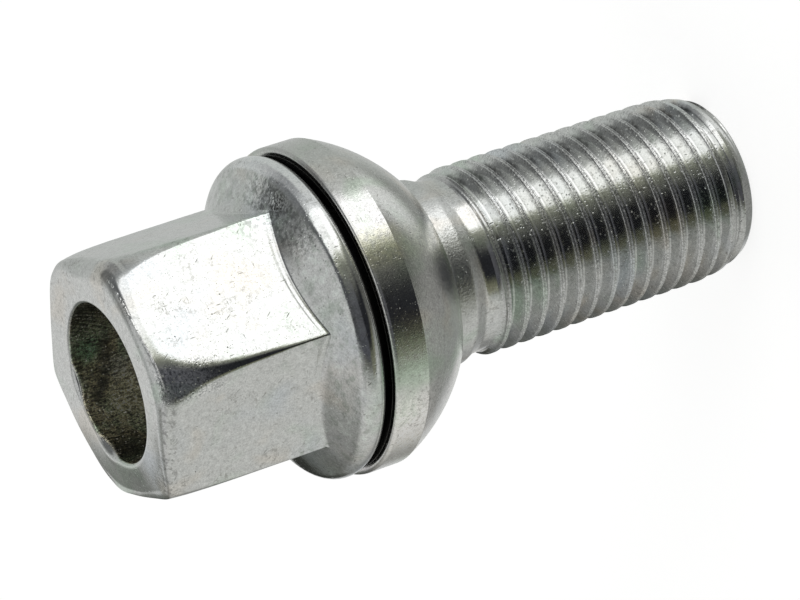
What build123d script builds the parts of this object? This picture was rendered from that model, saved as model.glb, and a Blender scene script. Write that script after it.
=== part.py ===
from build123d import *
import os

# Wheel bolt with a loose ball-seat ring, millimetres.
# It stands on its thread end: z = 0 is the flat thread end, +Z runs up the axis to the head.

# ---- driving dimensions -------------------------------------------------------------
total_length = 50.3

# thread end and thread (M14 x 1.5, right hand; the turns are a plain cylinder here)
end_flat_r = 5.75
end_edge_r, end_edge_z = 6.2, 0.3
thread_r = 6.95
thread_start_z = 2.6
thread_top_z = 21.3
runout_r, runout_z = 6.72, 21.8

# plain shank, retaining bead and neck
shank_r = 6.5
shank_low_z, shank_high_z = 22.4, 23.5
bead_r = 6.95
bead_low_z, bead_high_z = 24.5, 25.95
neck_r = 6.45
neck_low_z = 26.45
neck_fillet = 0.9

# flange: conical underside, barrel-shaped rim, conical top running into the hexagon
under_cone_slope = 0.839
under_cone_r = 10.9
under_z = 34.8
rim_crown_r = 11.80
rim_round = 1.15
top_cone_slope = 0.60
top_cone_inner_r = 7.0
top_cone_z = 39.14

# hexagon head: 17 mm spanner size, corners drawn back towards the end face
hex_across_flats = 16.9
hex_buried_z = 37.0
corner_full_r, corner_full_z = 9.80, 39.3
corner_mid_r, corner_mid_z = 9.60, 45.6
corner_end_r = 8.95
head_end_round = 0.8

# round blind recess in the end of the head
recess_r = 5.75
recess_depth = 9.0
recess_tip_depth = 2.2
recess_mouth_round = 0.25

# ball-seat ring
ring_r = 12.05
ring_rear_z = 34.25
ring_small_z = 26.65
ring_lip_inner_r = 11.40
ring_lip_outer_r = 11.80
ring_lip_chamfer = 0.25
ring_bore_r = 6.85
ring_bore_chamfer = 0.25
ball_r = 13.0
ball_centre_z = 36.55
ring_edge_round = 0.25

# ---- derived ------------------------------------------------------------------------
neck_high_z = under_z - (under_cone_r - neck_r) * under_cone_slope
# the rim is struck from one centre, so that it runs smoothly into the cone above it
cone_pitch = (1 + top_cone_slope**2) ** 0.5
rim_centre_r = rim_crown_r - rim_round
rim_centre_z = (
    top_cone_z - (rim_centre_r - top_cone_inner_r) * top_cone_slope - rim_round * cone_pitch
)
rim_high_r = rim_centre_r + rim_round * top_cone_slope / cone_pitch
rim_high_z = rim_centre_z + rim_round / cone_pitch
rim_low_r = rim_centre_r + (rim_round**2 - (rim_centre_z - under_z) ** 2) ** 0.5
ball_edge_z = ball_centre_z - (ball_r**2 - ring_r**2) ** 0.5
ball_small_r = (ball_r**2 - (ball_centre_z - ring_small_z) ** 2) ** 0.5
ring_seat_end_z = ring_rear_z - (ring_lip_inner_r - ring_bore_r) * under_cone_slope
ball_mid_z = (ball_edge_z + ring_small_z) / 2
ball_mid_r = (ball_r**2 - (ball_centre_z - ball_mid_z) ** 2) ** 0.5

os.makedirs("parts", exist_ok=True)


def corner_at(points, x, z):
    """Vertices of a sketch on the XZ plane that stand at radius x and height z."""
    return [v for v in points if abs(v.X - x) < 1e-4 and abs(v.Z - z) < 1e-4]


# ---- bolt: one forged piece ---------------------------------------------------------
with BuildPart() as bolt:
    # hexagon, buried at its foot in the flange
    with BuildSketch(Plane.XY.offset(hex_buried_z)):
        RegularPolygon(
            radius=hex_across_flats / 2, side_count=6, major_radius=False, rotation=30
        )
    extrude(amount=total_length - hex_buried_z)

    # the six corners run back towards the end face, slowly at first and then faster
    with BuildSketch(Plane.XZ):
        with BuildLine():
            Polyline(
                (0, hex_buried_z - 1),
                (corner_full_r + 2, hex_buried_z - 1),
                (corner_full_r + 2, corner_full_z),
                (corner_full_r, corner_full_z),
                (corner_mid_r, corner_mid_z),
                (corner_end_r, total_length),
                (corner_end_r, total_length + 1),
                (0, total_length + 1),
                close=True,
            )
        make_face()
    revolve(axis=Axis.Z, mode=Mode.INTERSECT)

    # rounded edge all round the end face
    end_face = bolt.faces().sort_by(Axis.Z)[-1]
    fillet(end_face.edges(), radius=head_end_round)

    # flange, neck, bead, shank and thread, all turned about one axis
    with BuildSketch(Plane.XZ) as turned:
        with BuildLine():
            Polyline(
                (rim_high_r, rim_high_z),
                (top_cone_inner_r, top_cone_z),
                (0, top_cone_z),
                (0, 0),
                (end_flat_r, 0),
                (end_edge_r, end_edge_z),
                (thread_r, thread_start_z),
                (thread_r, thread_top_z),
                (runout_r, runout_z),
                (shank_r, shank_low_z),
                (shank_r, shank_high_z),
                (bead_r, bead_low_z),
                (bead_r, bead_high_z),
                (neck_r, neck_low_z),
                (neck_r, neck_high_z),
                (under_cone_r, under_z),
                (rim_low_r, under_z),
            )
            ThreePointArc(
                (rim_low_r, under_z), (rim_crown_r, rim_centre_z), (rim_high_r, rim_high_z)
            )
        make_face()
        fillet(corner_at(turned.vertices(), neck_r, neck_high_z), radius=neck_fillet)
        fillet(corner_at(turned.vertices(), bead_r, bead_low_z), radius=0.3)
        fillet(corner_at(turned.vertices(), bead_r, bead_high_z), radius=0.3)
    revolve(axis=Axis.Z)

    # blind recess with a rounded mouth and a conical floor
    with BuildSketch(Plane.XZ) as hollow:
        with BuildLine():
            Polyline(
                (0, total_length + 1),
                (0, total_length - recess_depth - recess_tip_depth),
                (recess_r, total_length - recess_depth),
                (recess_r, total_length + 1),
                close=True,
            )
        make_face()
        fillet(
            corner_at(hollow.vertices(), recess_r, total_length - recess_depth), radius=0.8
        )
    revolve(axis=Axis.Z, mode=Mode.SUBTRACT)
    mouth = (
        bolt.edges()
        .filter_by(GeomType.CIRCLE)
        .filter_by(lambda e: abs(e.radius - recess_r) < 1e-3)
        .sort_by(Axis.Z)[-1]
    )
    fillet(mouth, radius=recess_mouth_round)
bolt.part.label = "bolt"
export_step(bolt.part, "parts/bolt.step")

# ---- ball-seat ring: one turned piece, loose on the neck ----------------------------
with BuildPart() as ball_seat_ring:
    with BuildSketch(Plane.XZ) as section:
        with BuildLine():
            Polyline(
                (ball_small_r, ring_small_z),
                (ring_bore_r + ring_bore_chamfer, ring_small_z),
                (ring_bore_r, ring_small_z + ring_bore_chamfer),
                (ring_bore_r, ring_seat_end_z),
                (ring_lip_inner_r, ring_rear_z),
                (ring_lip_outer_r, ring_rear_z),
                (ring_r, ring_rear_z - ring_lip_chamfer),
                (ring_r, ball_edge_z),
            )
            ThreePointArc(
                (ring_r, ball_edge_z), (ball_mid_r, ball_mid_z), (ball_small_r, ring_small_z)
            )
        make_face()
        fillet(
            corner_at(section.vertices(), ball_small_r, ring_small_z), radius=ring_edge_round
        )
    revolve(axis=Axis.Z)
ball_seat_ring.part.label = "ball_seat_ring"
export_step(ball_seat_ring.part, "parts/ball_seat_ring.step")
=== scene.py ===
import math

import bpy
import numpy as np
from mathutils import Matrix


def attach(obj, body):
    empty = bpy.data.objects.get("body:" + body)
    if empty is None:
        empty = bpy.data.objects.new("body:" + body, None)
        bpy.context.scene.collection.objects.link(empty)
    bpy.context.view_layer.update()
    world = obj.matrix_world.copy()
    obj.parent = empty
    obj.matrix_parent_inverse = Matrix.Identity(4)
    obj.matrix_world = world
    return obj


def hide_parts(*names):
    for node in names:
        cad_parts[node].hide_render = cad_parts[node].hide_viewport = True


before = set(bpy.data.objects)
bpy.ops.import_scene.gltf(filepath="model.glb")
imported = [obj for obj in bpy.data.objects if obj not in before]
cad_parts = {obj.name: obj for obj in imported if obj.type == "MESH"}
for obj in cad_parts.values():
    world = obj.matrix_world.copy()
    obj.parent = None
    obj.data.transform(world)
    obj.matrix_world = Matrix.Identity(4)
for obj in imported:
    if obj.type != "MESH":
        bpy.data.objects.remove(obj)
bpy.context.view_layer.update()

MM = 0.001
L = 50.3  # overall length; t below is measured from the head end, z = L - t


# ---- small shape helpers ------------------------------------------------------------
def smooth(a, b, x):
    s = np.clip((np.asarray(x, float) - a) / (b - a), 0.0, 1.0)
    return s * s * (3.0 - 2.0 * s)


def soft_min(a, b, k):
    h = np.clip(0.5 + 0.5 * (b - a) / k, 0.0, 1.0)
    return b * (1 - h) + a * h - k * h * (1 - h)


def rounded(points, radii, seg=6, keep=0.0):
    """Open polyline of (r, z) with its inner corners rounded. keep adds a support point that far outside each arc."""
    out = [points[0]]
    for i in range(1, len(points) - 1):
        p0, p1, p2 = (np.array(points[j], float) for j in (i - 1, i, i + 1))
        rad = radii[i]
        if rad <= 0:
            out.append(tuple(p1))
            continue
        d0, d1 = (p0 - p1), (p2 - p1)
        l0, l1 = np.linalg.norm(d0), np.linalg.norm(d1)
        d0, d1 = d0 / l0, d1 / l1
        ang = math.acos(max(-1.0, min(1.0, float(d0 @ d1))))
        tan = rad / math.tan(ang / 2)
        tan = min(tan, 0.48 * l0, 0.48 * l1)
        rad = tan * math.tan(ang / 2)
        bis = d0 + d1
        bis = bis / np.linalg.norm(bis)
        centre = p1 + bis * (rad / math.sin(ang / 2))
        a, b = p1 + d0 * tan, p1 + d1 * tan
        if keep > 0 and l0 > tan + 2.2 * keep:
            out.append(tuple(a + d0 * keep))
        va, vb = a - centre, b - centre
        full = math.atan2(va[0] * vb[1] - va[1] * vb[0], float(va @ vb))
        for j in range(seg + 1):
            w = full * j / seg
            c, s = math.cos(w), math.sin(w)
            out.append((centre[0] + va[0] * c - va[1] * s, centre[1] + va[0] * s + va[1] * c))
        if keep > 0 and l1 > tan + 2.2 * keep:
            out.append(tuple(b + d1 * keep))
    out.append(points[-1])
    return out


def mesh_object(name, verts, faces):
    me = bpy.data.meshes.new(name)
    me.from_pydata([(x * MM, y * MM, z * MM) for x, y, z in verts], [], faces)
    me.validate()
    me.polygons.foreach_set("use_smooth", [True] * len(me.polygons))
    me.update()
    ob = bpy.data.objects.new(name, me)
    bpy.context.scene.collection.objects.link(ob)
    return ob


# ---- bolt: head, flange, neck and rolled thread in one closed skin ------------------
half = [0, 3, 6, 9, 12, 15, 17, 19, 21, 23, 25, 26.5, 27.8, 28.8, 29.5, 30]
sector = sorted({-h for h in half} | set(half))[:-1]
DEG = np.array([60.0 * s + o for s in range(6) for o in sector])
N = len(DEG)
TH = np.radians(DEG)
CO, SI = np.cos(TH), np.sin(TH)
OFF = np.abs((DEG + 30.0) % 60.0 - 30.0)  # angle from the nearest flat's normal

FLAT = 8.45


def knots(values):
    """Smooth curve round the head through one value every 30 degrees."""
    at = (DEG % 360.0) / 30.0
    k = np.floor(at).astype(int)
    f = smooth(0, 1, at - k)
    v = np.array(list(values) + [values[0]])
    return v[k] * (1 - f) + v[k + 1] * f


# the forged head isn't even: some edges are rounder and some corners stand out more than others
END_ROUND = knots((1.2, 0.4, 0.3, 0.55, 0.3, 0.41, 0.35, 0.75, 0.85, 1.35, 0.85, 1.45))
TURN_BACK = knots((0.85, 0.79, 0.45, 0.20, 0.43, 0.75, 0.49, 0.30, 0.70, 1.20, 0.95, 0.90))
AWAY = np.abs((DEG - 182.0 + 180.0) % 360.0 - 180.0)
SLOPE = 0.17 * (1.0 - smooth(22, 72, AWAY))  # the end face falls away a little on one side
GROOVE = knots((0.2, 0.12, 0.12, 0.12, 0.12, 0.12, 0.12, 0.12, 0.12, 0.28, 0.75, 0.15))  # at the foot, mostly below one flat
HOLE_X, HOLE_Y = -0.2275, -0.1123  # the recess sits a little off the axis
RIM_R, RIM_T, CONE = 11.65, 13.95, 0.60
hex_flat = FLAT / np.cos(np.radians(OFF))
# forged flats aren't dead flat: a few hundredths of wander, the same on every run
wander = 0.012 * np.sin(2.0 * TH + 0.7) + 0.008 * np.sin(5.0 * TH + 2.1)


def hex_r(t):
    """Radius of the hexagon at depth t in every column: flats with corners turned back towards the end."""
    t = np.asarray(t, float)
    corner = 9.66 + 0.004 * t - TURN_BACK * np.exp(-t / 2.2) + 0.05 * smooth(8.4, 10.9, t)
    r = soft_min(hex_flat, corner, 0.05 + 0.55 * np.exp(-t / 1.3))
    return r + wander * 0.4 * np.sin(0.55 * t + 3.0 * TH)


verts, faces = [], []


def add_row(r, z, dx=0.0, dy=0.0):
    r, z = np.broadcast_to(r, N), np.broadcast_to(z, N)
    first = len(verts)
    verts.extend(zip((r * CO + dx).tolist(), (r * SI + dy).tolist(), z.tolist()))
    return first


def bridge(a, b):
    for k in range(N):
        faces.append((a + k, b + k, b + (k + 1) % N, a + (k + 1) % N))


rows = []
# recess: conical floor, drawn wall, rounded mouth
hole = rounded([(0.0, L - 11.2), (5.75, L - 9.0), (5.75, L - 1.2)], [0, 0.8, 0], seg=5, keep=0.12)
hole = [p for p in hole if p[0] > 1e-6]
inner = [(f * 5.0, L - 11.2 + f * 5.0 * 2.2 / 5.75) for f in (0.2, 0.5, 0.8)]
profile = inner + hole
for i, (r, z) in enumerate(profile):
    rows.append(add_row(r, z, HOLE_X, HOLE_Y))
    if i + 1 < len(profile):
        r2, z2 = profile[i + 1]
        if abs(z2 - z) > 3.0:  # the long wall gets rows of its own
            for f in np.linspace(0, 1, 8)[1:-1]:
                rows.append(add_row(r + (r2 - r) * f, z + (z2 - z) * f, HOLE_X, HOLE_Y))


def lens(centre, wide):
    d = np.abs((DEG - centre + 180.0) % 360.0 - 180.0)
    return np.clip(1.0 - (d / wide) ** 2, 0.0, 1.0)


# rounded mouth, chipped in two places
MOUTH = 0.20 + 0.34 * lens(94.0, 15.0) + 0.38 * lens(149.0, 16.0)
LIP = 0.030 * (lens(94.0, 17.0) + lens(122.0, 16.0) + lens(149.0, 18.0))  # a thin burr stands in from the wall
rows.append(add_row(5.75 - 0.4 * LIP, L - MOUTH - 0.22, HOLE_X, HOLE_Y))
rows.append(add_row(5.75 - LIP, L - MOUTH - 0.07, HOLE_X, HOLE_Y))
for j in range(0, 8):
    s = 0.5 * math.pi * j / 7
    rows.append(add_row(5.75 - LIP * (1 - j / 7) + MOUTH * (1 - math.cos(s)), L - MOUTH * (1 - math.sin(s)), HOLE_X, HOLE_Y))
mouth_r = 5.75 + MOUTH
# flat ring of the end face
edge = hex_r(END_ROUND)
face_r = edge - END_ROUND


def fall(r):
    d = np.maximum(np.asarray(r, float) - 5.95, 0.0)
    return SLOPE * np.where(d < 0.4, 1.25 * d * d, d - 0.2)


for f in (0.12, 0.3, 0.5, 0.7, 0.86, 0.95, 1.0):
    r = mouth_r + (face_r - mouth_r) * f
    rows.append(add_row(r, L - fall(r), HOLE_X * (1 - f), HOLE_Y * (1 - f)))
# rounded edge
for j in range(1, 11):
    s = 0.5 * math.pi * j / 10
    rows.append(add_row(face_r + END_ROUND * math.sin(s), L - fall(face_r) * math.cos(s) - END_ROUND * (1 - math.cos(s))))
# flats down to the flange cone; rows follow the line where the two meet
foot = hex_r(12.3)
meet = RIM_T - CONE * (RIM_R - foot)
low = meet - 0.66
for f in (0.012, 0.04, 0.075, 0.11, 0.15, 0.2, 0.25, 0.31, 0.37, 0.43, 0.5, 0.57, 0.64, 0.71, 0.78, 0.85, 0.91, 0.95, 0.972, 0.982):
    t = END_ROUND + (low - END_ROUND) * f
    rows.append(add_row(hex_r(t), L - t))
# a fine groove, a short wall and a small fillet at the foot of the hexagon
for d, down in (
    (0.0, -0.66), (-0.006, -0.57), (-0.030, -0.47), (-0.048, -0.40), (-0.053, -0.345), (-0.050, -0.27), (-0.038, -0.19),
    (-0.014, -0.115), (0.030, -0.045), (0.095, 0.03), (0.185, 0.098), (0.30, 0.18),
):
    rows.append(add_row(foot + (d * GROOVE if d < 0 else d), L - (meet + down)))
start_r = foot + 0.30
# rounded rim, struck from one centre and tangent to the cone above it
RIM_ROUND, CROWN = 1.15, 11.80
rim_c = (CROWN - RIM_ROUND, L - RIM_T + CONE * RIM_R - CONE * (CROWN - RIM_ROUND) - RIM_ROUND * math.hypot(1, CONE))
rim_low = math.asin((34.8 - rim_c[1]) / RIM_ROUND)
barrel = [
    (rim_c[0] + RIM_ROUND * math.cos(a), rim_c[1] + RIM_ROUND * math.sin(a))
    for a in np.linspace(math.atan(1 / CONE), rim_low, 15)
]
turned = barrel + rounded(
    [
        barrel[-1],
        (10.9, 34.8),
        (6.45, 34.8 - (10.9 - 6.45) * 0.839),
        (6.45, 26.45),
        (6.95, 25.95),
        (6.95, 24.5),
        (6.5, 23.5),
        (6.5, 22.75),
    ],
    [0, 0.12, 0.9, 0.15, 0.3, 0.8, 0.9, 0],
    seg=6,
    keep=0.08,
)[1:]
cone_end_r, cone_end_z = turned[0]
for f in (0.06, 0.2, 0.36, 0.52, 0.68, 0.84, 0.95):
    r = start_r + (cone_end_r - start_r) * f
    rows.append(add_row(r, L - RIM_T + (RIM_R - r) * CONE))
for r, z in turned:
    rows.append(add_row(r, z))
for a, b in zip(rows, rows[1:]):
    bridge(a, b)

# thread: a right-hand helical grid whose rows run along the crests, so its edges stay crisp
PITCH = 1.5
CREST_T = L - 17.789  # a crest passes this depth at angle 0
HALF_PROFILE = [
    (0.0, 6.870), (0.03, 6.876), (0.06, 6.905), (0.09, 6.940), (0.112, 6.95), (0.135, 6.944), (0.165, 6.912),
    (0.21, 6.848), (0.27, 6.750), (0.55, 6.282), (0.61, 6.190), (0.68, 6.122), (0.75, 6.10),
]
U = np.array([-u for u, _ in HALF_PROFILE[::-1]] + [u for u, _ in HALF_PROFILE[1:]])
R = np.array([r for _, r in HALF_PROFILE[::-1]] + [r for _, r in HALF_PROFILE[1:]])
M = len(U) - 1
T_START, T_END = 27.70, 50.0
ENV_T = np.array([40.0, 46.2, 46.9, 47.6, 48.4, 49.3, 50.0, 50.3])
ENV_R = np.array([7.05, 7.00, 6.95, 6.87, 6.75, 6.50, 6.20, 5.95])


def thread_r(u, t):
    plain = 6.5 + 0.05 * smooth(27.8, 28.8, t)
    full = np.interp(u, U, R)
    # at the run-out the crests rise first and the grooves deepen after them
    r = plain + (full - plain) * np.where(full > plain, smooth(27.72, 28.5, t), smooth(28.1, 29.5, t))
    return soft_min(r, np.interp(t, ENV_T, ENV_R), 0.05)


def phase(t):
    return (t - CREST_T + PITCH * DEG / 360.0 + PITCH / 2) % PITCH - PITCH / 2


row_start = add_row(thread_r(phase(T_START), T_START), L - T_START)
bridge(rows[-1], row_start)
row_end = add_row(thread_r(phase(T_END), T_END), L - T_END)
n_lo = int(math.floor((T_START - CREST_T) / PITCH)) - 2
n_hi = int(math.ceil((T_END - CREST_T) / PITCH)) + 3
m_lo, m_hi = n_lo * M, n_hi * M
index = {}
for m in range(m_lo, m_hi + 1):
    n, i = divmod(m, M)
    t = CREST_T + n * PITCH + U[i] - PITCH * DEG / 360.0
    r = thread_r(np.full(N, U[i]), t)
    for k in range(N):
        if t[k] <= T_START + 0.02:
            index[m, k] = row_start + k
        elif t[k] >= T_END - 0.02:
            index[m, k] = row_end + k
        else:
            index[m, k] = len(verts)
            verts.append((r[k] * CO[k], r[k] * SI[k], L - t[k]))


def at(m, k):
    if k == N:
        m, k = m - M, 0
    if m < m_lo:
        return row_start + k
    return index[m, k]


for m in range(m_lo, m_hi):
    for k in range(N):
        quad = []
        for v in (at(m, k), at(m + 1, k), at(m + 1, k + 1), at(m, k + 1)):
            if v not in quad:
                quad.append(v)
        if len(quad) >= 3:
            faces.append(tuple(quad))

# chamfered edge and flat thread end
tip = rounded([(6.2, 0.3), (5.95, 0.06), (5.55, 0.0), (4.5, 0.0)], [0, 0.2, 0.3, 0], seg=4)
last = row_end
for r, z in tip[1:-1] + [(4.6, 0.0), (3.2, 0.0), (1.6, 0.0)]:
    new = add_row(r, max(z, 0.0))
    bridge(last, new)
    last = new
foot_centre = len(verts)
verts.append((0.0, 0.0, 0.0))
for k in range(N):
    faces.append((last + k, foot_centre, last + (k + 1) % N))
top_centre = len(verts)
verts.append((HOLE_X, HOLE_Y, L - 11.2))
for k in range(N):
    faces.append((rows[0] + k, rows[0] + (k + 1) % N, top_centre))
bolt = mesh_object("wheel_bolt", verts, faces)

# ---- ball-seat ring: turned, loose on the neck --------------------------------------
RN = 240
ball_z, ball_R = 36.55, 13.0
edge_z = ball_z - math.sqrt(ball_R**2 - 12.05**2)
small_r = math.sqrt(ball_R**2 - (ball_z - 26.65) ** 2)
loop = rounded(
    [
        (7.6, 26.65),
        (7.10, 26.65),
        (6.85, 26.90),
        (6.85, 34.25 - (11.40 - 6.85) * 0.839),
        (11.40, 34.25),
        (12.05, 34.25),
        (12.05, edge_z),
        (11.80, edge_z - 0.62),
    ],
    [0, 0.06, 0.06, 0.15, 0.06, 0.32, 0.10, 0],
    seg=5,
    keep=0.05,
)[:-1]
a0 = math.atan2(ball_z - edge_z, 12.05)
a1 = math.atan2(ball_z - 26.65, small_r)
for f in np.linspace(0.03, 0.955, 26):
    w = a0 + (a1 - a0) * f
    loop.append((ball_R * math.cos(w), ball_z - ball_R * math.sin(w)))
tail = rounded([loop[-1], (small_r, 26.65), (7.6, 26.65)], [0, 0.25, 0], seg=6, keep=0.05)
loop += tail[1:-1]
ring_verts, ring_faces = [], []
ra = np.arange(RN) * 2 * math.pi / RN
for r, z in loop:
    ring_verts.extend(zip((r * np.cos(ra)).tolist(), (r * np.sin(ra)).tolist(), [z] * RN))
for i in range(len(loop)):
    j = (i + 1) % len(loop)
    for k in range(RN):
        k2 = (k + 1) % RN
        ring_faces.append((i * RN + k, i * RN + k2, j * RN + k2, j * RN + k))
ring = mesh_object("seat_ring", ring_verts, ring_faces)

for ob in (bolt, ring):  # outward normals
    me = ob.data
    co = np.empty(len(me.vertices) * 3)
    me.vertices.foreach_get("co", co)
    co = co.reshape(-1, 3)
    vol = 0.0
    me.calc_loop_triangles()
    tri = np.empty(len(me.loop_triangles) * 3, int)
    me.loop_triangles.foreach_get("vertices", tri)
    tri = tri.reshape(-1, 3)
    vol = float(np.einsum("ij,ij->i", co[tri[:, 0]], np.cross(co[tri[:, 1]], co[tri[:, 2]])).sum()) / 6
    if vol < 0:
        me.flip_normals()
    print(ob.name, "triangles", len(tri), "volume mm3", round(abs(vol) * 1e9, 1))

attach(bolt, "bolt")
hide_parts("bolt")
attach(ring, "ring")
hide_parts("ball_seat_ring")

# ---- node helpers -------------------------------------------------------------------
class Nodes:
    """Short ways to add and link nodes in one tree. Inputs are sockets, numbers or tuples."""

    def __init__(self, tree):
        self.tree = tree

    def put(self, socket, value):
        if isinstance(value, bpy.types.NodeSocket):
            self.tree.links.new(value, socket)
        elif value is not None:
            socket.default_value = value

    def node(self, kind, **props):
        n = self.tree.nodes.new("ShaderNode" + kind)
        for k, v in props.items():
            setattr(n, k, v)
        return n

    def math(self, op, a, b=None, c=None, clamp=False):
        n = self.node("Math", operation=op, use_clamp=clamp)
        for i, v in enumerate((a, b, c)):
            if v is not None:
                self.put(n.inputs[i], v)
        return n.outputs[0]

    def vec(self, op, a, b=None):
        n = self.node("VectorMath", operation=op)
        self.put(n.inputs[0], a)
        if b is not None:
            self.put(n.inputs["Scale"] if op == "SCALE" else n.inputs[1], b)
        return n.outputs["Value"] if op in ("DOT_PRODUCT", "LENGTH") else n.outputs[0]

    def step(self, x, a, b, lo=0.0, hi=1.0):
        """Smooth step of x from lo at a to hi at b."""
        if a > b:
            a, b, lo, hi = b, a, hi, lo
        n = self.node("MapRange", interpolation_type="SMOOTHSTEP")
        for i, v in enumerate((x, a, b, lo, hi)):
            self.put(n.inputs[i], v)
        return n.outputs[0]

    def mix(self, f, a, b, blend="MIX"):
        n = self.node("Mix", data_type="RGBA", blend_type=blend)
        self.put(n.inputs[0], f)
        for i, v in ((6, a), (7, b)):
            self.put(n.inputs[i], v if isinstance(v, bpy.types.NodeSocket) else (*v, 1.0))
        return n.outputs[2]

    def noise(self, vec, scale, detail=2.0, rough=0.5, twist=0.0, colour=False):
        n = self.node("TexNoise")
        self.put(n.inputs["Vector"], vec)
        n.inputs["Scale"].default_value = scale
        n.inputs["Detail"].default_value = detail
        n.inputs["Roughness"].default_value = rough
        n.inputs["Distortion"].default_value = twist
        return n.outputs["Color" if colour else "Fac"]

    def cells(self, vec, scale, feature="F1"):
        n = self.node("TexVoronoi", feature=feature)
        self.put(n.inputs["Vector"], vec)
        n.inputs["Scale"].default_value = scale
        return n.outputs["Distance"], n.outputs["Color"]

    def xyz(self, vec):
        n = self.node("SeparateXYZ")
        self.put(n.inputs[0], vec)
        return n.outputs

    def join(self, x, y, z):
        n = self.node("CombineXYZ")
        for i, v in enumerate((x, y, z)):
            self.put(n.inputs[i], v)
        return n.outputs[0]


# ---- materials: bright zinc plate -----------------------------------------------------
GREEN, YELLOW, ROSE = (0.55, 0.70, 0.56), (0.74, 0.72, 0.48), (0.74, 0.66, 0.66)
# passivation colours round the ring; the near-white tones at -132 and -150 degrees are painted highlight on that side
# of the band
RING_TINTS_AND_SHEEN = [
    (0, 34, (0.50, 0.515, 0.495)), (-66, 9, YELLOW), (-103, 13, GREEN), (-132, 18, (1.0, 0.94, 0.92)), (-150, 14, (1.0, 0.98, 0.86)),
    (150, 24, GREEN), (105, 16, ROSE), (58, 20, GREEN), (24, 12, YELLOW),
]


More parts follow.
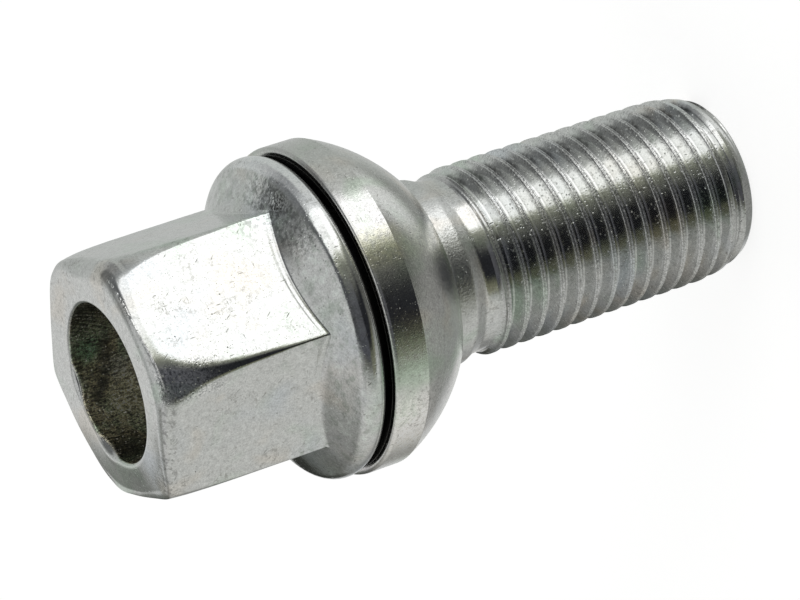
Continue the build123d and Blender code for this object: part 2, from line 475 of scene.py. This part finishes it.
def zinc(name, tints, is_ring, scuffs=()):
    mat = bpy.data.materials.new(name)
    mat.use_nodes = True
    nt = mat.node_tree
    g = Nodes(nt)
    bsdf = nt.nodes["Principled BSDF"]
    bsdf.inputs["Metallic"].default_value = 1.0
    p = g.vec("SCALE", g.node("TexCoord").outputs["Object"], 1000.0)  # millimetres
    x, y, z = g.xyz(p)
    r = g.vec("LENGTH", g.join(x, y, 0.0))
    turn = g.math("ARCTAN2", y, x)
    arc = g.math("MULTIPLY", turn, 8.5)

    def times(*parts):
        out = parts[0]
        for part in parts[1:]:
            out = g.math("MULTIPLY", out, part)
        return out

    def total(*parts):
        out = parts[0]
        for part in parts[1:]:
            out = g.math("ADD", out, part)
        return out

    def shifted(dx, dy, dz):
        return g.vec("ADD", p, (dx, dy, dz))

    grain = g.noise(p, 7.5, 2.0, 0.7)
    fine = g.noise(p, 15.0, 1.0, 0.5)
    mottle = g.noise(shifted(3.0, 41.0, 8.0), 2.4, 3.0, 0.62)
    cloud = g.noise(p, 0.55, 3.0, 0.55)
    broad = g.noise(p, 0.16, 2.0, 0.5)
    hue = g.noise(shifted(31.0, 7.0, 13.0), 0.21, 2.0, 0.55, 0.4)
    crowd = g.step(g.noise(shifted(5.0, 17.0, 3.0), 0.34, 2.0, 0.6), 0.48, 0.70)
    for cx, cy, cz, far in scuffs:
        near = g.vec("LENGTH", g.vec("SUBTRACT", p, (cx, cy, cz)))
        crowd = g.math("MAXIMUM", crowd, g.step(near, far, far * 0.25, 0.0, 1.6))

    # pits: a share of small cells, thicker in clusters
    dist, rnd = g.cells(p, 3.1)
    pick = g.xyz(rnd)
    some = g.math("GREATER_THAN", g.math("MULTIPLY_ADD", crowd, 0.18, pick[0]), 0.965)
    size = g.math("MULTIPLY_ADD", pick[1], 0.13, 0.07)
    pit = times(some, g.step(g.math("DIVIDE", dist, size), 1.0, 0.4))

    # short handling strokes: stretched cells along the bolt, across it and aslant
    def strokes(u, v, need):
        d, c = g.cells(g.join(u, v, times(r, 2.5)), 1.0)
        pick = g.xyz(c)
        keep = g.math("GREATER_THAN", g.math("MULTIPLY_ADD", crowd, 0.20, pick[0]), need)
        return times(keep, g.step(d, 0.27, 0.08), g.math("MULTIPLY_ADD", pick[1], 0.75, 0.25))

    aslant = total(times(arc, 0.80), times(z, 0.60))
    across = total(times(z, 0.80), times(arc, -0.60))
    mark = g.math(
        "MAXIMUM",
        strokes(times(arc, 5.5), times(z, 1.0), 0.955),
        g.math("MAXIMUM", strokes(times(arc, 1.1), times(z, 5.8), 0.955), strokes(times(aslant, 5.4), times(across, 0.75), 0.95)),
    )
    # irregular specks of dull plate
    dull = g.math("MULTIPLY_ADD", crowd, 0.060, g.noise(shifted(7.0, 1.0, 19.0), 2.6, 5.0, 0.74))
    dull = g.step(dull, 0.595, 0.675)
    # tiny facets that sparkle
    dist2, rnd2 = g.cells(p, 7.4 if is_ring else 5.2)
    pick2 = g.xyz(rnd2)
    fleck = times(g.math("GREATER_THAN", pick2[0], 0.80), g.step(dist2, 0.36, 0.08))

    def facing(deg, inner, outer):
        """1 within inner degrees of a direction round the axis, 0 beyond outer."""
        aim = (math.cos(math.radians(deg)), math.sin(math.radians(deg)), 0.0)
        return g.step(
            g.vec("DOT_PRODUCT", g.vec("NORMALIZE", g.join(x, y, 0.0)), aim),
            math.cos(math.radians(outer)),
            math.cos(math.radians(inner)),
        )

    def blob(cx, cy, cz, far):
        """1 at a point, 0 from far on."""
        return g.step(g.vec("LENGTH", g.vec("SUBTRACT", p, (cx, cy, cz))), far, far * 0.15)

    height = total(
        times(grain, 0.0020), times(fine, 0.0006), times(fleck, -0.0046), times(pit, -0.016), times(mark, -0.006)
    )
    rough = g.math("MULTIPLY_ADD", cloud, 0.05, 0.045)
    rough = g.math("MULTIPLY_ADD", grain, 0.05, rough)
    if is_ring:
        lathe = g.noise(g.join(times(turn, 0.8), times(r, 5.5), times(z, 5.5)), 1.0, 3.0, 0.6)
        height = total(height, times(lathe, 0.0018), times(fleck, -0.0035), times(g.noise(shifted(4.0, 4.0, 4.0), 10.5, 2.0, 0.7), g.math("MULTIPLY_ADD", facing(-93, 11, 25), 0.007, 0.006)))
        rough = total(rough, times(lathe, 0.03))
        outer = g.math("SQRT", g.math("MAXIMUM", g.math("SUBTRACT", 169.0, g.math("POWER", g.math("SUBTRACT", 36.55, z), 2.0)), 1.0))
        outer = g.math("MINIMUM", outer, 12.05)
        # the ring's seat facing the flange; darkened further down as painted shade
        gap_shade = times(g.step(g.math("SUBTRACT", r, outer), -0.50, -0.62), g.step(z, 26.9, 27.4))
    else:
        hx, hy = g.math("SUBTRACT", x, HOLE_X), g.math("SUBTRACT", y, HOLE_Y)
        hole_turn = g.math("ARCTAN2", hy, hx)
        recess = times(g.step(g.vec("LENGTH", g.join(hx, hy, 0.0)), 5.83, 5.74), g.step(z, 38.0, 38.6))
        bead = times(g.step(z, 23.2, 23.7), g.step(z, 26.5, 26.2), g.step(r, 6.3, 6.5))
        thread = g.step(z, 22.6, 21.8)
        cone = times(g.step(z, 35.6, 36.2), g.step(z, 40.4, 39.6), g.step(r, 8.9, 9.6))
        draw = g.noise(g.join(times(hole_turn, 38.0), times(z, 1.7), times(cloud, 2.0)), 1.0, 4.0, 0.72, 0.6)
        stipple = g.noise(p, 6.0, 3.0, 0.65)
        dist3, rnd3 = g.cells(shifted(2.0, 9.0, 4.0), 3.6)
        glint = times(g.math("GREATER_THAN", g.math("MULTIPLY_ADD", recess, 0.12, g.xyz(rnd3)[0]), 0.80), g.step(dist3, 0.34, 0.05))
        crest = times(thread, g.step(r, 6.78, 6.88))
        strip = times(thread, g.step(r, 6.66, 6.82))
        speckle = g.noise(shifted(1.0, 3.0, 12.0), 6.5, 2.0, 0.7)
        lump = g.noise(shifted(9.0, 2.0, 27.0), 2.8, 2.0, 0.6)
        blotch = g.noise(shifted(14.0, 3.0, 1.0), 1.25, 3.0, 0.65)
        beads = g.step(g.noise(shifted(2.0, 8.0, 5.0), 4.2, 1.0, 0.5), 0.40, 0.62)
        # a beaded ridge where the end face rolls over into the flats
        drop = times(g.math("MAXIMUM", g.math("SUBTRACT", -1.047, turn), 0.0), 0.59)
        off = g.math("DIVIDE", g.math("SUBTRACT", total(z, drop), 50.03), 0.045)
        ridge = times(g.math("EXPONENT", times(off, off, -1.0)), g.step(r, 7.2, 7.6), facing(-60, 26, 33))
        blunt = times(facing(-90, 6, 10), g.step(z, 44.0, 47.5), g.step(r, 8.3, 8.6))  # a bruised corner
        edge_zone = times(g.step(z, 49.10, 49.40), g.step(z, 50.22, 50.08), g.step(r, 7.6, 8.0), facing(-120, 27, 34))
        # the part of the ridge that is painted white as a highlight line
        rolled_highlight = times(ridge, facing(-82, 12, 24))
        height = total(
            height,
            times(draw, recess, 0.040),
            times(stipple, recess, 0.026),
            times(fleck, recess, -0.020),
            times(glint, recess, -0.130),
            times(glint, total(times(thread, 1.3), times(blunt, 0.9), times(cone, 0.4)), -0.020),
            times(speckle, crest, 0.015),
            times(pit, thread, 0.013),
            times(speckle, bead, 0.026),
            times(speckle, edge_zone, 0.012),
            times(ridge, g.math("MULTIPLY_ADD", beads, 0.9, 0.15), 0.024),
            times(lump, thread, 0.008),
            times(fleck, total(times(thread, 0.7), times(cone, 0.3), bead), -0.008),
            times(blotch, cone, 0.020),
            times(lump, blob(8.88, -5.61, 37.04, 1.4), 0.060),
            times(speckle, blunt, 0.010),
            times(fleck, blunt, -0.008),
        )
        rough = total(rough, times(recess, 0.20), times(bead, 0.20), times(edge_zone, 0.08), times(blunt, 0.10), times(rolled_highlight, 0.55), times(strip, 0.08))
        # the gap under the flange; darkened further down as painted shade
        gap_shade = times(g.step(z, 35.0, 34.84), g.step(z, 26.5, 27.0))
    bump = g.node("Bump")
    g.put(bump.inputs["Strength"], g.math("SUBTRACT", 1.0, gap_shade))
    bump.inputs["Distance"].default_value = 0.001
    g.put(bump.inputs["Height"], height)
    g.put(bsdf.inputs["Normal"], bump.outputs[0])

    neutral, green, warm, blue = tints
    col = g.mix(g.step(hue, 0.52, 0.70), neutral, green)
    col = g.mix(g.step(hue, 0.46, 0.30), col, warm)
    col = g.mix(g.step(broad, 0.52, 0.72, 0.0, 0.8), col, blue)
    if is_ring:  # passivation colours come and go round the ring; its near-white tones are painted highlight
        for deg, wide, tone in RING_TINTS_AND_SHEEN:
            col = g.mix(times(facing(deg, 0.0, wide), g.step(mottle, 0.30, 0.62, 0.15, 0.42), g.step(z, 30.6, 31.9, 0.35, 1.0)), col, tone)
        # painted highlight: the band is lightened on the side facing about -138 degrees
        col = g.vec("SCALE", col, g.math("MULTIPLY_ADD", times(facing(-138, 8, 26), g.step(z, 30.6, 31.9)), 0.22, 1.0))
    if not is_ring:
        # recess colour: an olive tint with painted light and shade over it
        recess_tint_light_shade = g.mix(g.step(g.noise(shifted(0.0, 6.0, 2.0), 0.5, 2.0, 0.6), 0.42, 0.62), (0.52, 0.475, 0.35), (0.42, 0.50, 0.37))
        recess_tint_light_shade = g.mix(times(blob(1.4, 5.4, 48.9, 1.5), 0.85), recess_tint_light_shade, (0.36, 0.62, 0.42))
        # painted reflected light: lighter olive low on the far wall and a lighter grey patch beside the dark band
        recess_tint_light_shade = g.mix(times(blob(-2.6, 5.1, 46.9, 2.6), 0.9), recess_tint_light_shade, (0.95, 0.88, 0.64))
        recess_tint_light_shade = g.mix(times(blob(-0.4, 5.6, 46.9, 1.3), 0.8), recess_tint_light_shade, (0.80, 0.80, 0.72))
        # painted shade: a dark band down the wall and dark patches at the top and bottom of the recess
        for bx, by, bz, far in (
            (1.6, 5.35, 47.6, 0.75), (0.6, 5.6, 47.7, 0.75), (-0.4, 5.64, 47.85, 0.75), (-1.2, 5.55, 48.3, 0.8), (-1.9, 5.4, 48.9, 0.8),
            (-5.5, 2.2, 49.0, 2.2), (4.3, 3.4, 49.2, 2.7),
        ):
            recess_tint_light_shade = g.mix(times(blob(bx, by, bz, far * 1.08), 0.90), recess_tint_light_shade, (0.085, 0.08, 0.068))
        # painted light: the wall is lighter deep down
        recess_tint_light_shade = g.mix(g.step(z, 46.4, 44.6), recess_tint_light_shade, (0.86, 0.84, 0.74))
        streak = times(g.step(draw, 0.38, 0.64, 0.26, 1.68), g.step(stipple, 0.36, 0.62, 0.40, 1.60))
        recess_tint_light_shade = g.vec("SCALE", recess_tint_light_shade, streak)
        # drawn chatter rows near the mouth, painted light as highlights
        dash = g.noise(g.join(times(hole_turn, 14.0), times(z, 4.5), 3.0), 1.0, 1.0, 0.5)
        drawn = g.math("SINE", total(times(hole_turn, 90.0), times(z, 8.7)))
        chatter = times(g.step(drawn, 0.2, 0.8), g.step(dash, 0.44, 0.56), blob(3.6, 4.3, 48.9, 3.2))
        recess_tint_light_shade = g.mix(times(chatter, 0.85), recess_tint_light_shade, (0.95, 0.94, 0.84))
        # painted glints: the glint cells are near white
        recess_tint_light_shade = g.mix(times(glint, 0.9), recess_tint_light_shade, (1.0, 0.98, 0.90))
        col = g.mix(times(recess, 0.92), col, recess_tint_light_shade)
        # the flange cone is blotchy and a little green
        col = g.mix(times(cone, g.step(blotch, 0.50, 0.66), 0.55), col, (0.40, 0.45, 0.40))
        col = g.mix(times(cone, g.step(blotch, 0.47, 0.33), 0.42), col, (0.87, 0.95, 0.89))
        col = g.mix(times(blunt, g.step(speckle, 0.52, 0.64), 1.0), col, (1.0, 1.0, 1.0))
        col = g.mix(times(blunt, g.step(speckle, 0.47, 0.38), 0.90), col, (0.26, 0.265, 0.28))
        mottled = times(cone, facing(-34, 13, 30), g.step(r, 11.4, 11.0))
        col = g.vec("SCALE", col, g.math("MULTIPLY_ADD", mottled, g.step(lump, 0.36, 0.62, -0.32, 0.42), 1.0))
        # the burr by the hexagon corner is bumped above; its near-black colour is painted shade in the corner
        burr_and_shade = blob(8.88, -5.61, 37.04, 1.5)
        col = g.mix(times(burr_and_shade, g.step(speckle, 0.44, 0.56)), col, (0.13, 0.13, 0.127))
        # painted highlight: the flange rim is lightened on the side facing about -18 degrees
        rim = times(g.step(r, 11.12, 11.34), g.step(z, 34.9, 35.3), facing(-18, 16, 34))
        col = g.mix(times(rim, 0.80), col, (0.95, 0.97, 0.99))
        # scale and smears where the front flat rolls over into the end face; the rolled ridge beside it is painted
        # white as a highlight line
        col = g.mix(times(edge_zone, g.step(lump, 0.50, 0.66), 0.60), col, (0.26, 0.26, 0.255))
        col = g.mix(times(rolled_highlight, g.step(speckle, 0.36, 0.56, 0.4, 1.0)), col, (1.0, 1.0, 1.0))
        # painted shade: dark lines along the groove at the foot of the hexagon and along the line under it, on the
        # flats facing about -73 and -46 degrees
        above = g.math("SUBTRACT", z, g.math("MULTIPLY_ADD", r, -0.6, 43.34))
        line_side = g.math("MULTIPLY_ADD", facing(-73, 10, 16), 0.85, times(facing(-46, 12, 24), 0.30))
        for at_h, wide, much in ((0.44, 0.065, 0.80), (0.115, 0.042, 0.75)):
            line = g.math("DIVIDE", g.math("SUBTRACT", above, at_h), wide)
            line = times(g.math("EXPONENT", times(line, line, -1.0)), g.step(z, 36.6, 37.0), g.step(r, 10.3, 10.0), line_side)
            col = g.mix(times(line, g.step(mottle, 0.25, 0.6, 0.5, 1.0), much), col, (0.10, 0.10, 0.095))
        # painted highlight and shade on the thread: lighter on the side facing about -54 degrees and on its top, darker
        # elsewhere
        thread_painted_bright = times(thread, facing(-54, 15, 34))
        col = g.mix(times(thread_painted_bright, 0.7), col, (0.72, 0.727, 0.712))
        thread_light_and_shade = total(1.0, times(facing(-54, 15, 36), -1.15), times(facing(10, 22, 42), -1.80))
        # painted shade: the crest strip is speckled darker on the bright side
        col = g.vec("SCALE", col, g.math("MULTIPLY_ADD", times(strip, facing(-54, 17, 36)), g.step(speckle, 0.38, 0.62, -0.36, -0.06), 1.0))
        # painted shade: dark streaks in the groove bottoms on the top of the thread
        groove_shade = times(thread, g.step(r, 6.62, 6.30), facing(-14, 6, 15), g.step(lump, 0.30, 0.60, 0.60, 1.0))
        col = g.vec("SCALE", col, g.math("MULTIPLY_ADD", times(thread, thread_light_and_shade), -0.17, 1.0))
        col = g.vec("SCALE", col, g.math("MULTIPLY_ADD", groove_shade, -0.80, 1.0))
        col = g.vec("SCALE", col, g.math("MULTIPLY_ADD", crest, g.step(speckle, 0.38, 0.62, -0.16, 0.20), 1.0))
    shade = total(0.29, times(grain, 0.92), times(mottle, 0.50))
    if not is_ring:
        # painted highlight: on the thread's bright side the grain is pulled up towards full brightness
        shade = g.math("ADD", shade, times(thread_painted_bright, g.math("SUBTRACT", 1.04, shade), 0.6))
    col = g.vec("SCALE", col, shade)
    col = g.mix(times(dull, 0.60), col, (0.36, 0.355, 0.335))
    col = g.mix(times(pit, 0.72 if is_ring else g.math("MULTIPLY_ADD", thread, -0.55, 0.72)), col, (0.12, 0.118, 0.108))
    col = g.mix(times(mark, 0.62), col, (0.16, 0.157, 0.142))
    # painted shade: the gap between the flange and the ring is near black, rough and without bump
    col = g.vec("SCALE", col, g.math("MULTIPLY_ADD", gap_shade, -0.90, 1.0))
    g.put(bsdf.inputs["Base Color"], col)
    rough = total(rough, times(gap_shade, 0.9))
    rough = g.math("MULTIPLY_ADD", pit, 0.25, rough, clamp=True)
    g.put(bsdf.inputs["Roughness"], rough)
    return mat


bolt.data.materials.append(
    zinc(
        "bolt_zinc_plate",
        ((0.705, 0.715, 0.705), (0.630, 0.695, 0.635), (0.730, 0.705, 0.660), (0.650, 0.685, 0.720)),
        False,
        # where the hexagon is most marked
        (
            (4.78, -7.0, 47.6, 1.3), (4.5, -7.15, 46.3, 1.1), (3.65, -7.65, 43.3, 1.2), (2.7, -8.2, 48.2, 0.8),
            (6.6, -5.9, 42.9, 0.9), (3.8, -7.6, 41.5, 0.8), (3.2, -7.9, 44.5, 0.8), (-2.2, -8.5, 45.0, 1.0),
            (-7.5, -5.4, 48.8, 1.1), (-8.2, -5.0, 45.9, 1.2), (-7.6, -5.3, 41.9, 1.3), (8.4, 1.5, 44.0, 1.4),
            (-3.5, 7.8, 46.0, 1.4), (4.5, 7.2, 43.0, 1.3), (-8.4, 1.0, 44.0, 1.4),
        ),
    )
)
ring.data.materials.append(
    zinc(
        "ring_zinc_plate",
        ((0.700, 0.705, 0.685), (0.620, 0.695, 0.605), (0.735, 0.695, 0.645), (0.690, 0.668, 0.690)),
        True,
    )
)

# ---- floor and light ------------------------------------------------------------------
bpy.ops.mesh.primitive_plane_add(size=4.0, location=(0, 0, -0.00002))
floor = bpy.context.object
floor.name = "floor"
floor_mat = bpy.data.materials.new("floor_white")
floor_mat.use_nodes = True
floor_bsdf = floor_mat.node_tree.nodes["Principled BSDF"]
floor_bsdf.inputs["Base Color"].default_value = (0.5, 0.5, 0.5, 1)
floor_bsdf.inputs["Roughness"].default_value = 0.9
floor_bsdf.inputs["Specular IOR Level"].default_value = 0.0
floor_bsdf.inputs["Emission Color"].default_value = (1, 1, 1, 1)
floor_bsdf.inputs["Emission Strength"].default_value = 0.81
floor.data.materials.append(floor_mat)
floor.visible_glossy = False
floor.visible_shadow = False

# soft studio round the bolt: a long softbox on one side, pale paper behind and below it,
# a dark opening on the side that the photograph was taken from
world = bpy.data.worlds.new("studio")
bpy.context.scene.world = world
world.use_nodes = True
w = Nodes(world.node_tree)
world.node_tree.nodes.clear()
direction = w.node("TexCoord").outputs["Generated"]
A0 = math.radians(11.211)
c1 = w.vec("DOT_PRODUCT", direction, (math.cos(A0), math.sin(A0), 0.0))
c2 = w.vec("DOT_PRODUCT", direction, (math.sin(A0), -math.cos(A0), 0.0))
c3 = w.xyz(direction)[2]
elev = w.math("ARCSINE", c3)
psi = w.math("ARCTAN2", c2, c1)
low = w.math("MINIMUM", w.math("ADD", elev, math.radians(24)), 0.0)
psi = w.math("MULTIPLY_ADD", low, -0.6, psi)
turn = w.math("WRAP", w.math("MULTIPLY_ADD", psi, 0.5 / math.pi, 0.5), 1.0, 0.0)
MIDDLE = [
    (-180, 0.62, 0.62, 0.60), (-158, 0.58, 0.58, 0.56), (-144, 0.46, 0.46, 0.44), (-132, 0.28, 0.28, 0.27),
    (-119, 0.27, 0.27, 0.26), (-109, 0.52, 0.53, 0.53), (-92, 0.72, 0.72, 0.71), (-80, 0.56, 0.57, 0.56),
    (-50, 0.50, 0.52, 0.50), (-16, 0.50, 0.52, 0.50), (2, 0.54, 0.55, 0.53), (14, 0.60, 0.61, 0.60),
    (21, 0.74, 0.75, 0.74), (25, 1.52, 1.52, 1.52), (55, 1.52, 1.52, 1.50), (59, 0.80, 0.81, 0.72), (64, 0.32, 0.33, 0.27),
    (72, 0.19, 0.195, 0.165), (82, 0.12, 0.122, 0.112), (90, 0.046, 0.047, 0.046), (96, 0.021, 0.022, 0.025),
    (121, 0.020, 0.021, 0.025), (126, 0.060, 0.062, 0.050), (131, 0.15, 0.152, 0.105), (143, 0.24, 0.245, 0.185), (148, 0.42, 0.435, 0.41),
    (156, 0.57, 0.575, 0.55),
]
HIGH = [
    (-180, 0.58, 0.58, 0.57), (-160, 0.60, 0.60, 0.59), (-150, 0.50, 0.50, 0.49), (-138, 0.31, 0.315, 0.30), (-124, 0.30, 0.305, 0.29),
    (-106, 0.46, 0.47, 0.46), (-76, 0.44, 0.45, 0.44), (-60, 0.26, 0.265, 0.26), (-48, 0.19, 0.194, 0.19), (-38, 0.165, 0.17, 0.168),
    (0, 0.15, 0.154, 0.157), (45, 0.14, 0.144, 0.15), (75, 0.09, 0.092, 0.098), (125, 0.07, 0.072, 0.076), (150, 0.34, 0.345, 0.33),
]
LOW = [
    (-180, 0.37, 0.37, 0.355), (-90, 0.29, 0.30, 0.29), (-28, 0.31, 0.32, 0.305), (-10, 0.78, 0.79, 0.78),
    (25, 0.88, 0.89, 0.88), (36, 0.40, 0.41, 0.38), (60, 0.28, 0.29, 0.25), (98, 0.10, 0.102, 0.095),
    (138, 0.14, 0.142, 0.13), (162, 0.38, 0.39, 0.37),
]
UPPER = [stop for stop in MIDDLE if stop[0] < -50] + [
    (-50, 0.49, 0.505, 0.49), (-25, 0.41, 0.415, 0.41), (-12, 0.27, 0.275, 0.275), (4, 0.30, 0.305, 0.305),
    (14, 0.48, 0.49, 0.485), (21, 0.68, 0.69, 0.68), (25, 1.28, 1.28, 1.28), (55, 1.28, 1.28, 1.26), (59, 0.74, 0.75, 0.66),
] + [stop for stop in MIDDLE if 60 < stop[0] < 82] + [
    (82, 0.15, 0.152, 0.15), (92, 0.095, 0.097, 0.106), (131, 0.090, 0.092, 0.102), (137, 0.15, 0.152, 0.13), (148, 0.42, 0.435, 0.41),
    (156, 0.57, 0.575, 0.55),
]
HOLLOW = [(-180, 1.0, 1.0, 1.0), (-130, 1.0, 1.0, 1.0), (-119, 0.58, 0.59, 0.56), (-111, 0.32, 0.33, 0.31), (-96, 0.33, 0.34, 0.32), (-90, 1.0, 1.0, 1.0)]
DEEP = [(-180, 1.0, 1.0, 1.0), (-128, 1.0, 1.0, 1.0), (-117, 0.45, 0.46, 0.44), (-109, 0.22, 0.225, 0.21), (-98, 0.14, 0.14, 0.135), (-90, 1.0, 1.0, 1.0)]
LIFT = [(deg, v, v, v) for deg, v in ((-180, 0.4), (-80, 0.4), (-58, 0.45), (-42, 0.75), (-12, 1.2), (0, 0.9), (10, 0.4), (18, 0.1), (60, 0.1), (90, 0.4))]


def around(stops):
    ramp = w.node("ValToRGB")
    ramp.color_ramp.interpolation = "LINEAR"
    ends = ramp.color_ramp.elements
    while len(ends) > 1:
        ends.remove(ends[-1])
    for i, (deg, cr, cg, cb) in enumerate(stops):
        e = ends[0] if i == 0 else ends.new((deg + 180) / 360)
        e.position = (deg + 180) / 360
        e.color = (cr, cg, cb, 1)
    e = ends.new(1.0)
    e.color = (*stops[0][1:], 1)
    w.put(ramp.inputs[0], turn)
    return ramp.outputs[0]


sky = w.mix(w.step(elev, math.radians(-14), math.radians(-3)), around(MIDDLE), around(UPPER))
# a dark hollow low on the side of the head end
hollow = w.math("MULTIPLY", w.step(elev, math.radians(-16), math.radians(-9)), w.step(elev, math.radians(27), math.radians(20)))
sky = w.mix(hollow, sky, around(HOLLOW), "MULTIPLY")
deep = w.math("MULTIPLY", w.step(elev, math.radians(-16), math.radians(-9)), w.step(elev, math.radians(9), math.radians(-1)))
sky = w.mix(deep, sky, around(DEEP), "MULTIPLY")
high = w.math("MULTIPLY_ADD", around(LIFT), math.radians(20), w.math("SUBTRACT", elev, math.radians(8)))  # the upper dark comes down lower on one side
sky = w.mix(w.step(high, math.radians(33), math.radians(46)), sky, around(HIGH))
sky = w.mix(w.step(elev, math.radians(58), math.radians(73)), sky, (0.58, 0.585, 0.58))
sky = w.mix(w.step(elev, math.radians(-40), math.radians(-56)), sky, around(LOW))
sky = w.mix(w.step(elev, math.radians(-66), math.radians(-84)), sky, (0.28, 0.28, 0.27))
seen = w.node("LightPath").outputs["Is Camera Ray"]
sky = w.mix(seen, sky, (1.0, 1.0, 1.0))
bg = w.node("Background")
w.put(bg.inputs["Color"], sky)
out = w.node("OutputWorld")
world.node_tree.links.new(bg.outputs[0], out.inputs[0])

cam = bpy.data.objects.new("camera", bpy.data.cameras.new("camera"))
bpy.context.scene.collection.objects.link(cam)
cam.data.sensor_width = 36.0
cam.data.lens = 157.5
cam.data.clip_start, cam.data.clip_end = 0.01, 10.0
right = (-0.23322034, -0.46432138, -0.85440853)
up = (0.95649685, 0.04883622, -0.28762613)
back = (0.17527705, -0.88431933, 0.43273234)
loc = (0.04249397, -0.22062734, 0.13498451)
cam.matrix_world = Matrix(
    [[right[i], up[i], back[i], loc[i]] for i in range(3)] + [[0, 0, 0, 1]]
)
bpy.context.scene.camera = cam
bpy.context.scene.view_settings.view_transform = "Standard"
